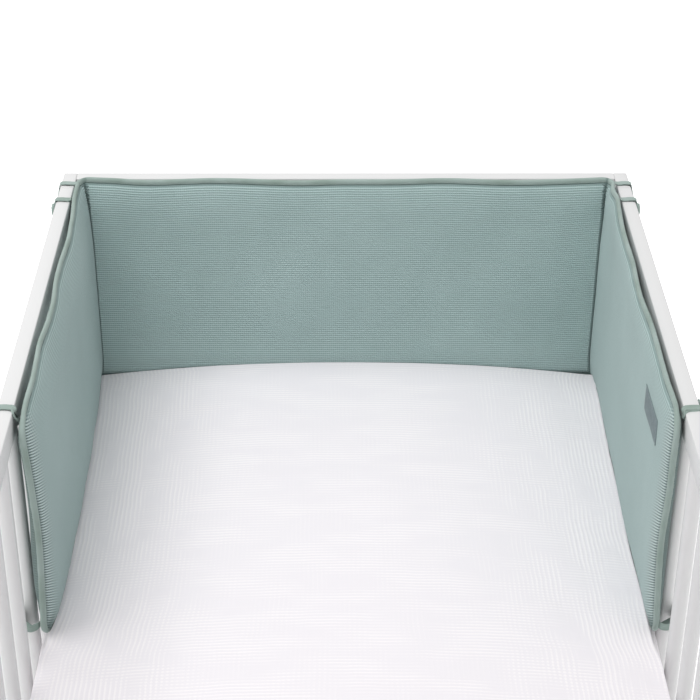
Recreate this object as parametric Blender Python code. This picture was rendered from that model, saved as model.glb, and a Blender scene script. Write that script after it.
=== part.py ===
"""A padded crib bumper, tied round the head end of a plain slatted crib.

The bumper is one long filled strip, stitched flat at its two fold lines, with a
rounded binding sewn round its whole edge, fabric straps knotted round the rails and
bars, and a sewn-on label.  Its lower edge sinks into the soft edge of the mattress.
+Z is up, +Y points to the head end, and the origin is on the floor under the middle.
"""
import math

import bmesh
import bpy
from mathutils import Matrix, Vector

# ---------------------------------------------------------------- sizes, in metres
MM = 0.001
GAP = 0.3 * MM                 # between pieces that touch

RAIL_TOP = 0.860               # the rails' top above the floor
INNER_WIDTH = 0.720            # between the two side rails
OUTER_LENGTH = 1.470           # over both end frames
WOOD = 0.018                   # thickness of the rails and posts
POST_LENGTH = 0.045            # a post's size along the crib
RAIL_HEIGHT = 0.032
LOW_RAIL_TOP = 0.200
LOW_RAIL_HEIGHT = 0.040
BAR_DIAMETER = 0.016
BAR_SIDES = 8
BAR_PITCH = 0.070              # of the bars along the sides
END_BAR_PITCH = 0.072          # of the bars across the ends
TENON = 0.010                  # how far a bar goes into its rails
WOOD_CHAMFER = 0.002

SLAT_COUNT = 10
SLAT_SIZE = (0.060, 0.012)     # of the base's cross slats: along the crib, and thick
BATTEN_SIZE = (0.029, 0.030)   # of the base's long battens: wide, and high
TONGUE = 0.002                 # how far the battens reach into the slats

# Heights from here on are measured up from the rails' top.
MATTRESS_BOTTOM = -0.385
MATTRESS_CROWN = -0.274
MATTRESS_BRIM = -0.2965
MATTRESS_LEDGE = -0.3115       # the step pressed into the soft edge by the bumper
MATTRESS_HALF_WIDTH = {-1: 0.3550, 1: 0.3585}
MATTRESS_HALF_LENGTH = 0.712
MATTRESS_CORNER = 0.028
HELD_CORNER = 0.012            # its corners' radius inside the bumper
MATTRESS_EDGE_ROLL = 0.004     # how far its uncovered edge rolls in at the top
MATTRESS_STATIONS = [-0.60, -0.45, -0.28, -0.12, 0.02, 0.085, 0.097, 0.108, 0.119, 0.131,
                     0.20, 0.30, 0.40, 0.50, 0.60]
BUMPER_CLEAR = 0.002           # between the bumper and the mattress or the rails

STRIP_HEIGHT = 0.312           # over the binding
STRIP_BOTTOM = -0.306
STRIP_END = 0.135              # Y of the strip's two ends
SIDE_PLANE = 0.3495            # X of the strip's middle along the sides
HEAD_PLANE = 0.7025            # Y of its middle across the head
FOLD_RADIUS = 0.012
PAD_HALF = 0.0085              # half the filled strip's thickness
PAD_RIM = 0.0030               # half its thickness at the binding
CROWN_REACH = 0.042            # distance over which it fills out from the binding
FOLD_PINCH = 0.74              # share of the thickness that the fold's stitches take
FOLD_REACH = 0.013
CORNER_RADIUS = 0.030
BINDING_WIDTH = 0.0095
BINDING_HALF = 0.0035
RIM_INSET = BINDING_WIDTH + 0.4 * MM

LABEL_SIZE = (0.083, 0.033)
LABEL_PLACE = (0.108, -0.063)  # from the strip's right end, and up
LABEL_TURN = math.radians(3.5)
LABEL_THICKNESS = 0.8 * MM

STRAP_HALF = (0.00475, 0.0007)  # half its width and half its thickness
STRAP_ROOT = 0.0030            # half its width where it is sewn on
STRAP_STEP = 0.006

# The strip's top edge, section by section, in millimetres: distance from the section's
# start, how far the edge leans into the crib, and its height over the rails.
LEFT_WAVES = [(0, 1.5, -2.0), (46, 1.0, 1.7), (88, 2.0, 3.3), (122, 1.0, 4.8), (157, -0.3, 5.5),
              (219, 2.5, 4.1), (262, 2.0, 4.5), (295, 0.0, 7.0), (342, -0.3, 7.4), (405, 1.2, 6.0),
              (449, 0.0, 7.5), (480, -1.6, 8.0), (515, -4.4, 8.4), (556, -4.8, 9.0)]
HEAD_WAVES = [(0, -4.8, 9.0), (19, 0.0, 9.4), (48, 0.0, 8.0), (92, 0.5, 5.5), (185, 0.0, 8.0),
              (290, 0.6, 5.0), (350, 0.0, 6.0), (420, 0.2, 6.2), (490, 0.0, 7.8), (570, 0.6, 5.4),
              (622, 0.2, 6.0), (694, 0.0, 9.0), (713, -4.4, 9.0)]
RIGHT_WAVES = [(0, 0.5, 2.0), (25, -1.2, 5.5), (73, 0.0, 5.6), (113, -0.2, 5.8), (153, -0.8, 6.2),
               (197, -0.8, 6.1), (258, 1.8, 5.3), (302, 1.2, 5.7), (342, -0.3, 7.1), (397, 0.3, 7.0),
               (444, -0.4, 7.2), (480, -2.2, 8.0), (515, -4.2, 8.4), (535, -1.5, 8.8), (556, -4.4, 9.0)]
# How far the body leans in below the top edge, in millimetres, from each end to the fold.
LEFT_LEAN = [(0, 3.5), (120, 5.0), (440, 5.0), (556, 1.0)]
RIGHT_LEAN = [(0, 3.0), (90, -1.0), (440, -1.5), (556, 1.0)]
LEAN_DEPTH = 0.060             # the lean grows over this height

# Straps: the place on the strip they are sewn to (distance from its end, height over its
# lower edge), then points (out from the rail's inner face, along the crib from the head's
# outer face, up from the rails' top, half width, half thickness, turn of the width from
# level to upright in degrees), in millimetres.  Each swells into its half of the knot
# and ends in a short free end.
FLAT = (4.75, 0.7)
HEAD_STRAP = ((560, 306), [
    (2.0, -35.5, 2.9, *FLAT, 0), (6, -34.5, 2.9, *FLAT, 0), (13, -34, 2.9, *FLAT, 0),
    (18.5, -34.5, 1.8, *FLAT, 0), (20.8, -36, -2.5, *FLAT, 15), (21.2, -43, -8, *FLAT, 50),
    (21.2, -57, -11, *FLAT, 85), (21.6, -68, -11.5, *FLAT, 90), (24, -76, -12.5, 4.8, 3.4, 80),
    (25.3, -79, -17, 4.2, 3.6, 40), (22.5, -79, -23, 4.0, 0.9, 10), (20.6, -77, -34, *FLAT, 0),
    (20.8, -74, -48, 4.4, 0.7, 0)])
SIDE_STRAP = ((518, 306), [
    (1, -82, 2.7, *FLAT, 0), (5, -82, 2.9, *FLAT, 0), (13, -81, 2.9, *FLAT, 0),
    (18.5, -82, 1.8, *FLAT, 0), (21.5, -84, -2.0, *FLAT, 0), (25.0, -87, -6.5, 4.6, 3.2, 0),
    (25.8, -88.3, -12, 4.8, 3.8, 0), (24.0, -88.5, -18, 4.2, 2.6, 0), (21.0, -90, -25, 4.4, 0.8, 0),
    (20.6, -93, -36, *FLAT, 0), (21.2, -95, -44, 4.4, 0.7, 0)])
NEAR_STRAP = ((24, 299), [
    (-1.4, -571, -3.0, 3.6, 0.7, 0), (-1.0, -567.5, 1.2, 4.2, 0.7, 0), (1.8, -564.5, 3.3, *FLAT, 0),
    (5, -563.5, 3.0, *FLAT, 0),
    (13, -563, 2.9, *FLAT, 0), (18.5, -563, 1.8, *FLAT, 0), (21.2, -563, -2.5, *FLAT, 0),
    (23.8, -564, -9, 4.6, 3.0, 0), (25.3, -565, -15, 4.8, 3.8, 0), (23.5, -566, -21, 4.2, 2.4, 0),
    (20.9, -568, -27, 4.4, 0.8, 0), (20.6, -571, -38, *FLAT, 0), (21.4, -573, -46, 4.4, 0.7, 0)])
UNDER_STRAP = ((55, 271), [
    (2.5, -545, -34.8, *FLAT, 0), (9, -544, -34.8, *FLAT, 0),
    (17.5, -544, -34.4, *FLAT, 0), (21, -545, -31, *FLAT, 0), (22.0, -548, -24, 4.6, 1.4, 0),
    (24.6, -552.5, -18, 4.6, 3.4, 0), (25.6, -553.5, -12.5, 4.6, 3.6, 0), (24.0, -553, -7.5, 4.2, 1.8, 0),
    (27.5, -551, -7.5, 4.2, 0.9, 0), (29.0, -550.5, -15, 4.4, 0.7, 0), (28.6, -550, -26, 4.2, 0.7, 0)])
LOW_STRAP = ((9, 23), [
    (-3.0, -597, -283.5, *FLAT, 90), (4, -600, -284, *FLAT, 90), (12, -596, -284, *FLAT, 90),
    (18.5, -586, -284, *FLAT, 90), (21.3, -575, -284, 4.75, 1.2, 90), (24.2, -568.5, -285, 4.8, 3.2, 80),
    (25.0, -566.5, -290, 4.4, 3.2, 30), (22.8, -567, -297, 4.2, 0.9, 0), (21.6, -569, -308, *FLAT, 0),
    (22.2, -570, -318, 4.4, 0.7, 0)])
BACK_STRAP = ((58, 23), [
    (3, -542, -284, *FLAT, 90), (11, -543.5, -284, *FLAT, 90),
    (17.5, -548, -284, *FLAT, 90), (21.6, -553, -284, 4.75, 2.0, 90), (24.6, -556.2, -285, 4.6, 3.2, 80),
    (25.0, -556.4, -291, 4.2, 3.0, 30), (23.0, -555, -298, 4.2, 0.9, 0), (21.8, -553, -308, *FLAT, 0),
    (22.6, -551, -316, 4.4, 0.7, 0)])
STRAPS = {"head": HEAD_STRAP, "side": SIDE_STRAP, "near": NEAR_STRAP, "under": UNDER_STRAP,
          "low": LOW_STRAP, "back": BACK_STRAP}

COLOURS = {
    "waffle_cotton": ((0.270, 0.375, 0.350), 0.90),
    "binding_cotton": ((0.330, 0.440, 0.400), 0.85),
    "label_fabric": ((0.180, 0.225, 0.235), 0.80),
    "muslin": ((0.850, 0.850, 0.880), 0.90),
    "painted_wood": ((0.860, 0.860, 0.855), 0.45),
}


# ---------------------------------------------------------------- helpers
def clear_scene():
    for obj in list(bpy.data.objects):
        bpy.data.objects.remove(obj, do_unlink=True)


def material(name):
    colour, roughness = COLOURS[name]
    mat = bpy.data.materials.get(name) or bpy.data.materials.new(name)
    mat.use_nodes = True
    shader = mat.node_tree.nodes["Principled BSDF"]
    shader.inputs["Base Color"].default_value = (*colour, 1.0)
    shader.inputs["Roughness"].default_value = roughness
    shader.inputs["Metallic"].default_value = 0.0
    return mat


def add_object(name, bm, mat_name, smooth_angle=40):
    """Turn a closed bmesh into a named object with its faces pointing out."""
    bmesh.ops.recalc_face_normals(bm, faces=bm.faces)
    mesh = bpy.data.meshes.new(name)
    bm.to_mesh(mesh)
    bm.free()
    mesh.shade_smooth()
    mesh.set_sharp_from_angle(angle=math.radians(smooth_angle))
    mesh.materials.append(material(mat_name))
    obj = bpy.data.objects.new(name, mesh)
    bpy.context.scene.collection.objects.link(obj)
    return obj


def join_to(obj, other):
    """Make one body of two objects; the second stays only as a hidden guide."""
    union = obj.modifiers.new("union", "BOOLEAN")
    union.operation = "UNION"
    union.solver = "EXACT"
    union.object = other
    other.hide_render = True
    other.display_type = "WIRE"


def add_box(bm, low, high, chamfer=0.0):
    """Add a box between two corners."""
    verts = bmesh.ops.create_cube(bm, size=1.0)["verts"]
    for vert in verts:
        vert.co = Vector(low[i] if vert.co[i] < 0 else high[i] for i in range(3))
    if chamfer:
        edges = list({edge for vert in verts for edge in vert.link_edges})
        bmesh.ops.bevel(bm, geom=edges, offset=chamfer, segments=1, profile=0.5,
                        affect="EDGES", material=-1, clamp_overlap=True)


def add_bar(bm, x, y, low, high):
    """Add an upright round bar."""
    made = bmesh.ops.create_cone(bm, cap_ends=True, segments=BAR_SIDES, depth=high - low,
                                 radius1=BAR_DIAMETER / 2, radius2=BAR_DIAMETER / 2)
    bmesh.ops.translate(bm, verts=made["verts"], vec=(x, y, (low + high) / 2))


def loft(bm, rings, closed=False):
    """Skin equal rings of points, one after the other, and cap the ends if it is open."""
    loops = [[bm.verts.new(point) for point in ring] for ring in rings]
    count = len(rings[0])
    pairs = list(zip(loops, loops[1:]))
    if closed:
        pairs.append((loops[-1], loops[0]))
    for near, far in pairs:
        for i in range(count):
            j = (i + 1) % count
            bm.faces.new((near[i], near[j], far[j], far[i]))
    if not closed:
        bm.faces.new(loops[0])
        bm.faces.new(loops[-1])


def smooth_read(rows, at):
    """Read rows of (place, value, ...) along a smooth curve through them."""
    at = min(max(at, rows[0][0]), rows[-1][0])
    k = max(i for i, row in enumerate(rows[:-1]) if row[0] <= at)
    span = rows[k + 1][0] - rows[k][0]
    t = (at - rows[k][0]) / span

    def slope(i, column):
        low, high = rows[max(i - 1, 0)], rows[min(i + 1, len(rows) - 1)]
        return span * (high[column] - low[column]) / (high[0] - low[0])

    weights = (2 * t ** 3 - 3 * t ** 2 + 1, t ** 3 - 2 * t ** 2 + t,
               3 * t ** 2 - 2 * t ** 3, t ** 3 - t ** 2)
    return [weights[0] * rows[k][c] + weights[1] * slope(k, c)
            + weights[2] * rows[k + 1][c] + weights[3] * slope(k + 1, c)
            for c in range(1, len(rows[0]))]


def ease(x):
    """0 below 0, 1 above 1, and a smooth step between."""
    x = min(max(x, 0.0), 1.0)
    return x * x * (3 - 2 * x)


def spaced(start, stop, step):
    """Even places from start up to, not including, stop."""
    count = max(1, round(abs(stop - start) / step))
    return [start + (stop - start) * i / count for i in range(count)]


# ---------------------------------------------------------------- the strip's form
SIDE_RUN = HEAD_PLANE - FOLD_RADIUS - STRIP_END
FOLD_RUN = math.pi * FOLD_RADIUS / 2
STRIP_LENGTH = 2 * (SIDE_RUN + FOLD_RUN + SIDE_PLANE - FOLD_RADIUS)
FOLDS = (SIDE_RUN + FOLD_RUN / 2, STRIP_LENGTH - SIDE_RUN - FOLD_RUN / 2)


def plan(s):
    """The strip's middle line from above, s along it from its left end: place, inward."""
    if s > STRIP_LENGTH / 2:
        place, inward = plan(STRIP_LENGTH - s)
        return Vector((-place.x, place.y)), Vector((-inward.x, inward.y))
    if s < SIDE_RUN:
        return Vector((-SIDE_PLANE, STRIP_END + s)), Vector((1, 0))
    turn = min((s - SIDE_RUN) / FOLD_RADIUS, math.pi / 2)
    inward = Vector((math.cos(turn), -math.sin(turn)))
    place = Vector((FOLD_RADIUS - SIDE_PLANE, HEAD_PLANE - FOLD_RADIUS)) - inward * FOLD_RADIUS
    place.x += max(s - SIDE_RUN - FOLD_RUN, 0)
    return place, inward


def edge_wave(s):
    """How far the top edge leans in, and its height over the rails, in metres."""
    if s < SIDE_RUN:
        values = smooth_read(LEFT_WAVES, s / MM)
    elif s > STRIP_LENGTH - SIDE_RUN:
        values = smooth_read(RIGHT_WAVES, (STRIP_LENGTH - s) / MM)
    else:
        values = smooth_read(HEAD_WAVES, (s - SIDE_RUN) / MM)
    return [value * MM for value in values]


def body_lean(s):
    if s < STRIP_LENGTH / 2:
        return smooth_read(LEFT_LEAN, s / MM)[0] * MM
    return smooth_read(RIGHT_LEAN, (STRIP_LENGTH - s) / MM)[0] * MM


def middle(s, v):
    """A point on the strip's middle sheet, s along it and v up from its lower edge."""
    wave, top = edge_wave(s)
    depth = (STRIP_HEIGHT - v) / LEAN_DEPTH
    lean = wave * (1 - ease(depth / 2)) + body_lean(s) * ease(depth)
    place, inward = plan(s)
    place = place + inward * lean
    up = STRIP_BOTTOM + v * (top - STRIP_BOTTOM) / STRIP_HEIGHT
    return Vector((place.x, place.y, RAIL_TOP + up))


def inward_normal(s, v):
    """The middle sheet's normal that points into the crib."""
    step = 0.4 * MM
    upward = middle(s, v + step) - middle(s, v - step)
    return upward.cross(middle(s - step, v) - middle(s + step, v)).normalized()


def half_thickness(s, v):
    """Half the filled strip's thickness, low at its rim and at the stitched folds."""
    half = PAD_HALF - PAD_RIM
    for distance in (min(s, STRIP_LENGTH - s), min(v, STRIP_HEIGHT - v)):
        share = min(max((distance - RIM_INSET) / CROWN_REACH, 0.0), 1.0)
        half *= math.sin(share * math.pi / 2) ** 0.6
    half += PAD_RIM
    for fold in FOLDS:
        half *= 1 - FOLD_PINCH * math.exp(-((s - fold) / FOLD_REACH) ** 2)
    return max(half, 1.8 * MM)


def outer_half(s, v):
    """Half the thickness towards the rails, which leaves them their clearance."""
    room = INNER_WIDTH / 2 - BUMPER_CLEAR - abs(middle(s, v).x)
    return min(half_thickness(s, v), max(room, BINDING_HALF / 2))


def corner_drop(distance, radius):
    """How far a rounded corner has fallen at a distance from the strip's end."""
    short = max(radius - distance, 0.0)
    return radius - math.sqrt(radius ** 2 - short ** 2)


def strip_columns():
    """Places along the strip, closer together at its ends and at its folds."""
    half = [RIM_INSET + d * MM for d in (0, 1.2, 4, 9, 15)]
    fold = [FOLDS[0] + d * MM for d in (-45, -32, -22, -14, -8, -3.5, 0, 3.5, 8, 14, 22, 32, 45)]
    half += spaced(RIM_INSET + 0.0225, fold[0], 0.028) + fold
    half += spaced(fold[-1] + 0.028, STRIP_LENGTH / 2, 0.028)
    return half + [STRIP_LENGTH / 2] + [STRIP_LENGTH - s for s in reversed(half)]


# ---------------------------------------------------------------- the bumper's pieces
def build_pad():
    """The filled strip: its inner face, its outer face, and the rim between them."""
    shares = (0, 0.022, 0.06, 0.12, 0.3, 0.5, 0.7, 0.88, 0.94, 0.978, 1)
    bm = bmesh.new()
    inner, outer = [], []
    for s in strip_columns():
        drop = corner_drop(min(s, STRIP_LENGTH - s) - RIM_INSET, CORNER_RADIUS - RIM_INSET)
        low, high = RIM_INSET + drop, STRIP_HEIGHT - RIM_INSET - drop
        inner.append([])
        outer.append([])
        for share in shares:
            v = low + share * (high - low)
            place, normal = middle(s, v), inward_normal(s, v)
            inner[-1].append(bm.verts.new(place + normal * half_thickness(s, v)))
            outer[-1].append(bm.verts.new(place - normal * outer_half(s, v)))
    for face in (inner, outer):
        for near, far in zip(face, face[1:]):
            for i in range(len(shares) - 1):
                bm.faces.new((near[i], near[i + 1], far[i + 1], far[i]))
    rims = [(inner[0], outer[0]), (inner[-1], outer[-1])]
    rims += [([column[i] for column in inner], [column[i] for column in outer]) for i in (0, -1)]
    for front, back in rims:
        for i in range(len(front) - 1):
            bm.faces.new((front[i], front[i + 1], back[i + 1], back[i]))
    return add_object("bumper_pad", bm, "waffle_cotton")


def outline_route():
    """Places round the strip's rounded outline, each with its outward direction."""
    inset = CORNER_RADIUS
    lengthwise = [s for s in strip_columns() if inset < s < STRIP_LENGTH - inset]
    upright = spaced(inset, STRIP_HEIGHT - inset, 0.042)[1:]
    centres = [(STRIP_LENGTH - inset, STRIP_HEIGHT - inset), (STRIP_LENGTH - inset, inset),
               (inset, inset), (inset, STRIP_HEIGHT - inset)]
    straights = [[(STRIP_LENGTH, v) for v in reversed(upright)], [(s, 0) for s in reversed(lengthwise)],
                 [(0, v) for v in upright], [(s, STRIP_HEIGHT) for s in lengthwise]]
    outs = [(1, 0), (0, -1), (-1, 0), (0, 1)]
    route = []
    for corner, (centre, straight) in enumerate(zip(centres, straights)):
        for step in range(6):
            angle = math.pi / 2 * (1 - corner - step / 5)
            out = (math.cos(angle), math.sin(angle))
            route.append((centre[0] + inset * out[0], centre[1] + inset * out[1], out))
        route += [(s, v, outs[corner]) for s, v in straight]
    return route


def build_binding():
    """The rounded tape round the strip's edge, one closed loop."""
    profile = [(1.0, 0.88), (0.62, 1.0), (0.22, 0.86), (0.0, 0.36),
               (0.0, -0.36), (0.22, -0.86), (0.62, -1.0), (1.0, -0.88)]
    rings = []
    for s, v, out in outline_route():
        ring = []
        for depth, across in profile:
            place = (s - out[0] * depth * BINDING_WIDTH, v - out[1] * depth * BINDING_WIDTH)
            ring.append(middle(*place) + inward_normal(*place) * (across * BINDING_HALF))
        rings.append(ring)
    bm = bmesh.new()
    loft(bm, rings, closed=True)
    return add_object("bumper_binding", bm, "binding_cotton")


def build_label():
    """The woven label, following the right panel's inner face just clear of it."""
    centre = Vector((STRIP_LENGTH - LABEL_PLACE[0], LABEL_PLACE[1] - STRIP_BOTTOM))
    turn = Matrix.Rotation(LABEL_TURN, 2)
    bm = bmesh.new()
    bmesh.ops.create_grid(bm, x_segments=6, y_segments=3, size=0.5)
    sheet = bmesh.ops.extrude_face_region(bm, geom=list(bm.faces))["geom"]
    raised = {item for item in sheet if isinstance(item, bmesh.types.BMVert)}
    for vert in bm.verts:
        flat = turn @ Vector((vert.co.x * LABEL_SIZE[0], vert.co.y * LABEL_SIZE[1]))
        s, v = centre + flat
        lift = half_thickness(s, v) + 0.5 * MM + (LABEL_THICKNESS if vert in raised else 0)
        vert.co = middle(s, v) + inward_normal(s, v) * lift
    return add_object("bumper_label", bm, "label_fabric")


def strap_path(side, sewn, rows):
    """The strap's rings' places, half sizes and width directions, from its table."""
    s = sewn[0] * MM if side < 0 else STRIP_LENGTH - sewn[0] * MM
    v = sewn[1] * MM
    lift = max(BINDING_HALF, outer_half(s, v)) + STRAP_HALF[1] + 1.2 * MM
    start = middle(s, v) - inward_normal(s, v) * lift
    points = [(start.x * side, start.y, start.z, STRAP_ROOT, STRAP_HALF[1], rows[0][5])]
    for out, along, up, half_width, half_thick, turn in rows:
        points.append((INNER_WIDTH / 2 + out * MM, OUTER_LENGTH / 2 + along * MM, RAIL_TOP + up * MM,
                       half_width * MM, half_thick * MM, turn))
    table, travelled = [], 0.0
    for i, point in enumerate(points):
        if i:
            travelled += (Vector(point[:3]) - Vector(points[i - 1][:3])).length
        table.append((travelled, *point))
    return table


def build_strap(kind, side):
    """A flat strap from the strip to its half of the knot and its free end."""
    table = strap_path(side, *STRAPS[kind])
    length = table[-1][0]
    places = spaced(0, length, STRAP_STEP) + [length]
    rings = []
    for place in places:
        x, y, z, half_width, half_thick, turn = smooth_read(table, place)
        ahead = smooth_read(table, min(place + MM, length))
        behind = smooth_read(table, max(place - MM, 0))
        along = (Vector(ahead[:3]) - Vector(behind[:3])).normalized()
        width = Vector((0, math.cos(math.radians(turn)), math.sin(math.radians(turn))))
        width = (width - along * width.dot(along)).normalized()
        thick = along.cross(width)
        ring = []
        for across, through in ((-1, 0), (-0.75, 1), (0.75, 1), (1, 0), (0.75, -1), (-0.75, -1)):
            point = Vector((x, y, z)) + width * (across * half_width) + thick * (through * half_thick)
            ring.append(Vector((point.x * side, point.y, point.z)))
        rings.append(ring)
    bm = bmesh.new()
    loft(bm, rings)
    return add_object(f"strap_{kind}_{'left' if side < 0 else 'right'}", bm, "binding_cotton")


# ---------------------------------------------------------------- the crib
def build_post(side, end):
    inner = OUTER_LENGTH / 2 - POST_LENGTH
    bm = bmesh.new()
    lows = (INNER_WIDTH / 2, inner, 0.0)
    highs = (INNER_WIDTH / 2 + WOOD, OUTER_LENGTH / 2, RAIL_TOP)
    add_box(bm, lows, highs, WOOD_CHAMFER)
    bmesh.ops.scale(bm, vec=(side, end, 1), verts=bm.verts)
    name = f"post_{'head' if end > 0 else 'foot'}_{'left' if side < 0 else 'right'}"
    return add_object(name, bm, "painted_wood")


def build_frame(name, along_y, centre, bar_places, half_length):
    """Two rails and the upright bars between them, as one body."""
    levels = [(RAIL_TOP - RAIL_HEIGHT, RAIL_TOP), (LOW_RAIL_TOP - LOW_RAIL_HEIGHT, LOW_RAIL_TOP)]
    rails, bars = bmesh.new(), bmesh.new()
    for low, high in levels:
        across = (centre - WOOD / 2, centre + WOOD / 2)
        x, y = (across, (-half_length, half_length)) if along_y else ((-half_length, half_length), across)
        add_box(rails, (x[0], y[0], low), (x[1], y[1], high), WOOD_CHAMFER)
    for place in bar_places:
        x, y = (centre, place) if along_y else (place, centre)
        add_bar(bars, x, y, LOW_RAIL_TOP - TENON, RAIL_TOP - RAIL_HEIGHT + TENON)
    frame = add_object(name, rails, "painted_wood")
    join_to(frame, add_object(f"{name}_bars", bars, "painted_wood"))
    return frame


def build_frames():
    half_inside = OUTER_LENGTH / 2 - POST_LENGTH
    count = round(2 * half_inside / BAR_PITCH)
    places = [(i - (count - 1) / 2) * BAR_PITCH for i in range(count)]
    for side, name in ((-1, "side_frame_left"), (1, "side_frame_right")):
        build_frame(name, True, side * (INNER_WIDTH + WOOD) / 2, places, half_inside - GAP)
    count = round(INNER_WIDTH / END_BAR_PITCH) - 1
    places = [(i - (count - 1) / 2) * END_BAR_PITCH for i in range(count)]
    for end, name in ((-1, "end_frame_foot"), (1, "end_frame_head")):
        build_frame(name, False, end * (OUTER_LENGTH - WOOD) / 2, places, INNER_WIDTH / 2 - GAP)


def build_base():
    """The slatted base that the mattress lies on, held between the four posts."""
    top = RAIL_TOP + MATTRESS_BOTTOM - GAP
    half_width, half_length = INNER_WIDTH / 2 - GAP, OUTER_LENGTH / 2 - WOOD - GAP
    slat_low = top - SLAT_SIZE[1]
    battens, slats = bmesh.new(), bmesh.new()
    for side in (-1, 1):
        x = sorted((side * half_width, side * (half_width - BATTEN_SIZE[0])))
        low = slat_low - BATTEN_SIZE[1]
        add_box(battens, (x[0], -half_length, low), (x[1], half_length, slat_low + TONGUE))
    run = 2 * half_length - SLAT_SIZE[0]
    for i in range(SLAT_COUNT):
        y = -half_length + run * i / (SLAT_COUNT - 1)
        add_box(slats, (-half_width, y, slat_low), (half_width, y + SLAT_SIZE[0], top))
    base = add_object("slatted_base", battens, "painted_wood")
    join_to(base, add_object("slatted_base_slats", slats, "painted_wood"))
    return base


# ---------------------------------------------------------------- the mattress
def half_width_at(side, y, press):
    """Half the mattress's width: its full size, or pressed in where the bumper lies."""
    leans = RIGHT_LEAN if side > 0 else LEFT_LEAN
    lean = smooth_read(leans, (y - STRIP_END) / MM)[0] * MM
    held = SIDE_PLANE - lean - half_thickness(0.3, 0.020) - BUMPER_CLEAR
    full = MATTRESS_HALF_WIDTH[side]
    covered = ease((y - STRIP_END + 0.050) / 0.046)
    return full + press * ((held - full) * covered - MATTRESS_EDGE_ROLL * (1 - covered))


def mattress_outline(inset, press):
    """The outline from above, from the foot's right corner round to the foot's left."""
    outline = []
    shrink = 1 - inset / MATTRESS_HALF_LENGTH
    for side in (1, -1):
        outline += [Vector((side * (half_width_at(side, y, press) - inset), y * shrink))
                    for y in MATTRESS_STATIONS[::side]]
        pressed_end = HEAD_PLANE - PAD_HALF - BUMPER_CLEAR - MM if side > 0 else MATTRESS_HALF_LENGTH
        end = MATTRESS_HALF_LENGTH + press * (pressed_end - MATTRESS_HALF_LENGTH) - inset
        starts = [half_width_at(turn, side * end, press) - inset for turn in (side, -side)]
        corner = MATTRESS_CORNER - (press * (MATTRESS_CORNER - HELD_CORNER) if side > 0 else 0)
        for turn, start in zip((side, -side), starts):
            angles = [math.radians(a) for a in (0, 30, 60, 90)][::turn * side]
            outline += [Vector((turn * (start - corner * (1 - math.cos(a))),
                                side * (end - corner * (1 - math.sin(a))))) for a in angles]
            if turn == side:
                outline += [Vector((side * share * (start - corner), side * end))
                            for share in (0.85, 0.6, 0.3, 0, -0.3, -0.6, -0.85)]
    return outline


def mattress_top(x):
    share = min(abs(x) / (SIDE_PLANE - PAD_HALF), 1.0)
    return MATTRESS_CROWN + (MATTRESS_BRIM - MATTRESS_CROWN) * share ** 2.2


def build_mattress():
    """The mattress in its sheet: a body, the ledge under the bumper, and a low crown."""
    rings = [(0.200, 0, MATTRESS_BOTTOM), (0.012, 0, MATTRESS_BOTTOM), (0.003, 0, MATTRESS_BOTTOM + 0.004),
             (0, 0, MATTRESS_BOTTOM + 0.014), (0, 0, MATTRESS_LEDGE - 0.010),
             (0.003, 0, MATTRESS_LEDGE - 0.002), (0.003, 0.5, MATTRESS_LEDGE), (0, 1, MATTRESS_LEDGE)]
    rings = [[Vector((p.x, p.y, RAIL_TOP + up)) for p in mattress_outline(inset, press)]
             for inset, press, up in rings]
    for inset, fall in ((0, 0.006), (0.0012, 0.0028), (0.004, 0.0008), (0.011, 0), (0.040, 0),
                        (0.090, 0), (0.160, 0), (0.235, 0), (0.295, 0)):
        rings.append([Vector((p.x, p.y, RAIL_TOP + mattress_top(p.x) - fall))
                      for p in mattress_outline(inset, 1)])
    bm = bmesh.new()
    loft(bm, rings)
    return add_object("mattress", bm, "muslin")


# ---------------------------------------------------------------- the whole object
clear_scene()
build_pad()
build_binding()
build_label()
for strap_side in (-1, 1):
    for strap_kind in STRAPS:
        build_strap(strap_kind, strap_side)
    for post_end in (-1, 1):
        build_post(strap_side, post_end)
build_frames()
build_base()
build_mattress()
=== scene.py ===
from functools import partial
from math import copysign, cos, exp, hypot, pi, radians, sin, sqrt

import bmesh
import bpy
from mathutils import Matrix, Vector
from mathutils.noise import noise


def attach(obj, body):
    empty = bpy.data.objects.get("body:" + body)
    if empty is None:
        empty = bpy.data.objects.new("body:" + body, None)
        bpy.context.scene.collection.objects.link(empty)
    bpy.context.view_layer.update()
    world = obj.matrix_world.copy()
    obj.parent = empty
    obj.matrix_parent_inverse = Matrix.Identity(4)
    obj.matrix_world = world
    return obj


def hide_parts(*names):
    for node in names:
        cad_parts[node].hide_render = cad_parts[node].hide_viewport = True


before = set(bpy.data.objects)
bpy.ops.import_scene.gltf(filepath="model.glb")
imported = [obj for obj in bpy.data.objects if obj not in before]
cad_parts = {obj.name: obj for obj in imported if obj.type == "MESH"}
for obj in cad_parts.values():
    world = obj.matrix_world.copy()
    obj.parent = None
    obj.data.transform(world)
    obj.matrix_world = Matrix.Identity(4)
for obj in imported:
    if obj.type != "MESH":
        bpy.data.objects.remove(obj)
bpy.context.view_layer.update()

mm = 0.001
railTop = 0.860  # above the floor, as in the CAD
innerWidth = 0.720  # between the side rails
outerLength = 1.470  # over both end frames
wood = 0.018  # how thick the rails and posts are


def hexColour(text):  # sRGB hex to linear
    parts = [int(text[i:i + 2], 16) / 255 for i in (1, 3, 5)]
    return (*[c / 12.92 if c <= 0.04045 else ((c + 0.055) / 1.055) ** 2.4 for c in parts], 1)


def setInputs(node, inputs):  # each is a value, or a node or socket to read
    for name, value in inputs.items():
        source = value.outputs[0] if isinstance(value, bpy.types.Node) else value
        if isinstance(source, bpy.types.NodeSocket):
            node.id_data.links.new(source, node.inputs[name])
        else:
            node.inputs[name].default_value = source


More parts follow.
